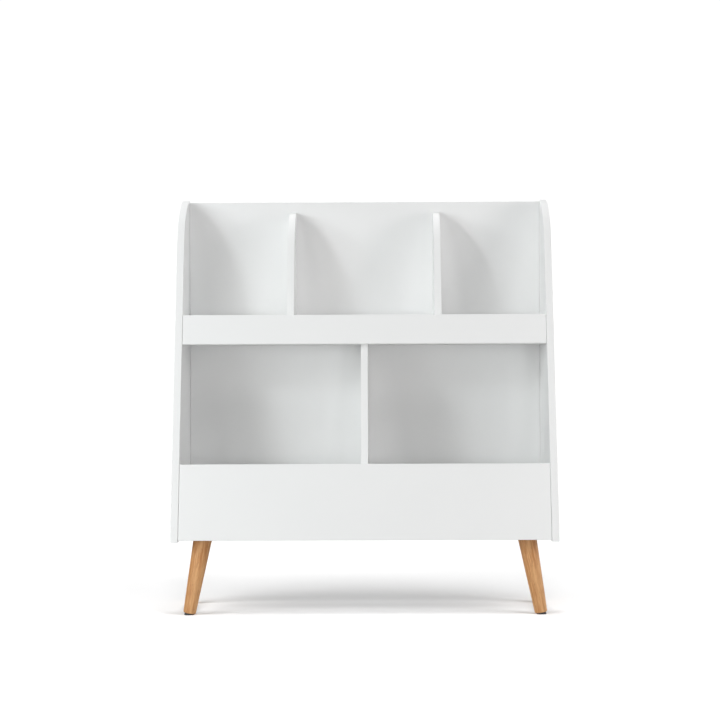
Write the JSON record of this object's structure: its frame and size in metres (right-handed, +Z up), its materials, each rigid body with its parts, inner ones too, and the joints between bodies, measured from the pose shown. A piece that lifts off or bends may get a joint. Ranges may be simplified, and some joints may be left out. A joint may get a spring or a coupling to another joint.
{
  "type": "children's bookcase",
  "caption": "Low white bookcase with a leaning open front, small upper bins behind a rail, large lower bins behind a tall front board, and splayed tapered wooden legs.",
  "frame": {"origin": "on the floor, under the middle of the cabinet's width and depth", "axes": "+Z up, +Y towards the back panel, +X to the right as seen from the front; the open front faces -Y"},
  "size_m": [0.8, 0.29, 0.882],
  "materials": {
    "white_board": "satin white paint over fibreboard",
    "oak": "clear matt lacquer over turned oak",
    "beech": "raw beech, fluted dowel",
    "rubber": "matt dark grey",
    "steel": "bright zinc plate",
    "zinc": "die-cast zinc, matt"
  },
  "bodies": {
    "root": {"left_side_panel": "white_board", "right_side_panel": "white_board", "upper_divider_left": "white_board", "upper_divider_right": "white_board", "back_panel": "white_board", "upper_shelf": "white_board", "bottom_panel": "white_board", "lower_divider": "white_board", "lower_front_panel": "white_board", "upper_front_rail": "white_board", "leg_front_left": "oak", "leg_front_right": "oak", "leg_rear_left": "oak", "leg_rear_right": "oak", "foot_pad_front_left": "rubber", "foot_pad_front_right": "rubber", "foot_pad_rear_left": "rubber", "foot_pad_rear_right": "rubber", "leg_insert_front_left": "zinc", "leg_bolt_front_left": "steel", "leg_dowel_front_left": "beech", "leg_insert_front_right": "zinc", "leg_bolt_front_right": "steel", "leg_dowel_front_right": "beech", "leg_insert_rear_left": "zinc", "leg_bolt_rear_left": "steel", "leg_dowel_rear_left": "beech", "leg_insert_rear_right": "zinc", "leg_bolt_rear_right": "steel", "leg_dowel_rear_right": "beech", "front_panel_dowel_left_1": "beech", "front_panel_dowel_left_2": "beech", "front_panel_dowel_right_1": "beech", "front_panel_dowel_right_2": "beech", "front_rail_dowel_left_1": "beech", "front_rail_dowel_left_2": "beech", "front_rail_dowel_right_1": "beech", "front_rail_dowel_right_2": "beech", "cam_bottom_left_1": "zinc", "cam_bolt_bottom_left_1": "steel", "cam_bottom_left_2": "zinc", "cam_bolt_bottom_left_2": "steel", "cam_bottom_right_1": "zinc", "cam_bolt_bottom_right_1": "steel", "cam_bottom_right_2": "zinc", "cam_bolt_bottom_right_2": "steel", "cam_shelf_left_1": "zinc", "cam_bolt_shelf_left_1": "steel", "cam_shelf_left_2": "zinc", "cam_bolt_shelf_left_2": "steel", "cam_shelf_right_1": "zinc", "cam_bolt_shelf_right_1": "steel", "cam_shelf_right_2": "zinc", "cam_bolt_shelf_right_2": "steel", "back_screw_bottom_1": "steel", "back_screw_bottom_2": "steel", "back_screw_bottom_3": "steel", "back_screw_shelf_1": "steel", "back_screw_shelf_2": "steel", "back_screw_shelf_3": "steel"}
  },
  "joints": []
}
